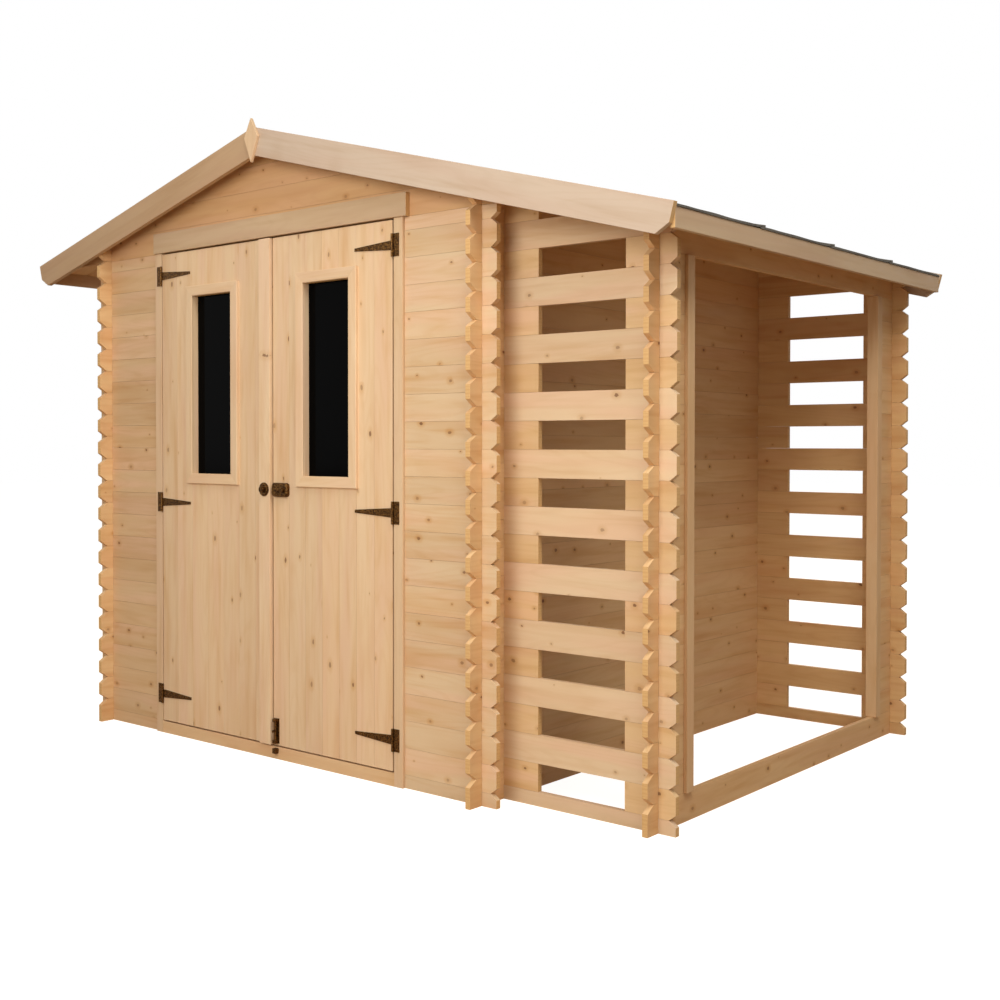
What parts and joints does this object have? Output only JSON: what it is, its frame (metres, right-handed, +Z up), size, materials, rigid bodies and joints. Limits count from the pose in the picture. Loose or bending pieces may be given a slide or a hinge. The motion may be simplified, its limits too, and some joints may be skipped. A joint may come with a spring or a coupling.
{
  "type": "garden shed with attached open-sided log store",
  "caption": "Garden shed of interlocking log boards with double glazed doors and an open-sided, slatted log store under one felted gable roof.",
  "frame": {"origin": "on the ground at the middle of the outline of the whole building", "axes": "+X along the building's width towards the log store, +Y from the doors to the back, +Z up"},
  "size_m": [3.166, 1.9968, 2.3057],
  "materials": {
    "log_boards": "planed, untreated",
    "planed_trim": "planed, untreated",
    "roof_timber": "planed, untreated",
    "door_planks": "planed, untreated",
    "roofing_felt": "mineral grit",
    "antique_brass": "darkened",
    "dark_glass": "glossy"
  },
  "bodies": {
    "root": {"left_wall": "log_boards", "partition_wall": "log_boards", "front_wall_left": "log_boards", "front_wall_right": "log_boards", "front_gable": "log_boards", "rear_gable": "log_boards", "back_wall_rails": "log_boards", "back_wall_boards": "log_boards", "store_back_blocks": "log_boards", "store_front_rails": "log_boards", "store_front_inner_blocks": "log_boards", "store_front_outer_blocks": "log_boards", "store_side_sill": "log_boards", "store_side_header": "log_boards", "store_side_front_stubs": "log_boards", "store_side_back_stubs": "log_boards", "door_post_left": "planed_trim", "door_post_right": "planed_trim", "store_post_front": "planed_trim", "store_post_back": "planed_trim", "threshold": "planed_trim", "door_head_trim": "planed_trim", "front_finial": "planed_trim", "rear_finial": "planed_trim", "roof_boards_left": "roof_timber", "roof_boards_right": "roof_timber", "ridge_beam": "roof_timber", "side_beams": "roof_timber", "store_wall_plate": "roof_timber", "fascia_left": "roof_timber", "fascia_right": "roof_timber", "front_barge_left": "roof_timber", "front_barge_right": "roof_timber", "rear_barge_left": "roof_timber", "rear_barge_right": "roof_timber", "roof_felt_left": "roofing_felt", "roof_felt_right": "roofing_felt", "left_hinge_plates": "antique_brass", "right_hinge_plates": "antique_brass", "threshold_bolt_keeper": "antique_brass"},
    "left_door": {"left_door_planks": "door_planks", "left_door_ledges": "door_planks", "left_window_trim": "planed_trim", "left_window_inner_frame": "planed_trim", "left_window_pane": "dark_glass", "left_hinge_straps": "antique_brass", "left_door_cover_strip": "planed_trim", "left_door_catch": "antique_brass"},
    "right_door": {"right_door_planks": "door_planks", "right_door_ledges": "door_planks", "right_window_trim": "planed_trim", "right_window_inner_frame": "planed_trim", "right_window_pane": "dark_glass", "right_hinge_straps": "antique_brass", "right_door_latch": "antique_brass", "right_door_bolt_plate": "antique_brass", "right_door_bolt_rod": "antique_brass"}
  },
  "joints": [
    {"name": "left_door_hinge", "type": "hinge", "parent": "root", "child": "left_door", "pos_m": [-0.8085, -0.926, 0.913], "axis": [0, 0, -1], "range_deg": [0, 110]},
    {"name": "right_door_hinge", "type": "hinge", "parent": "root", "child": "right_door", "pos_m": [0.4575, -0.926, 0.913], "axis": [0, 0, 1], "range_deg": [0, 110]}
  ]
}
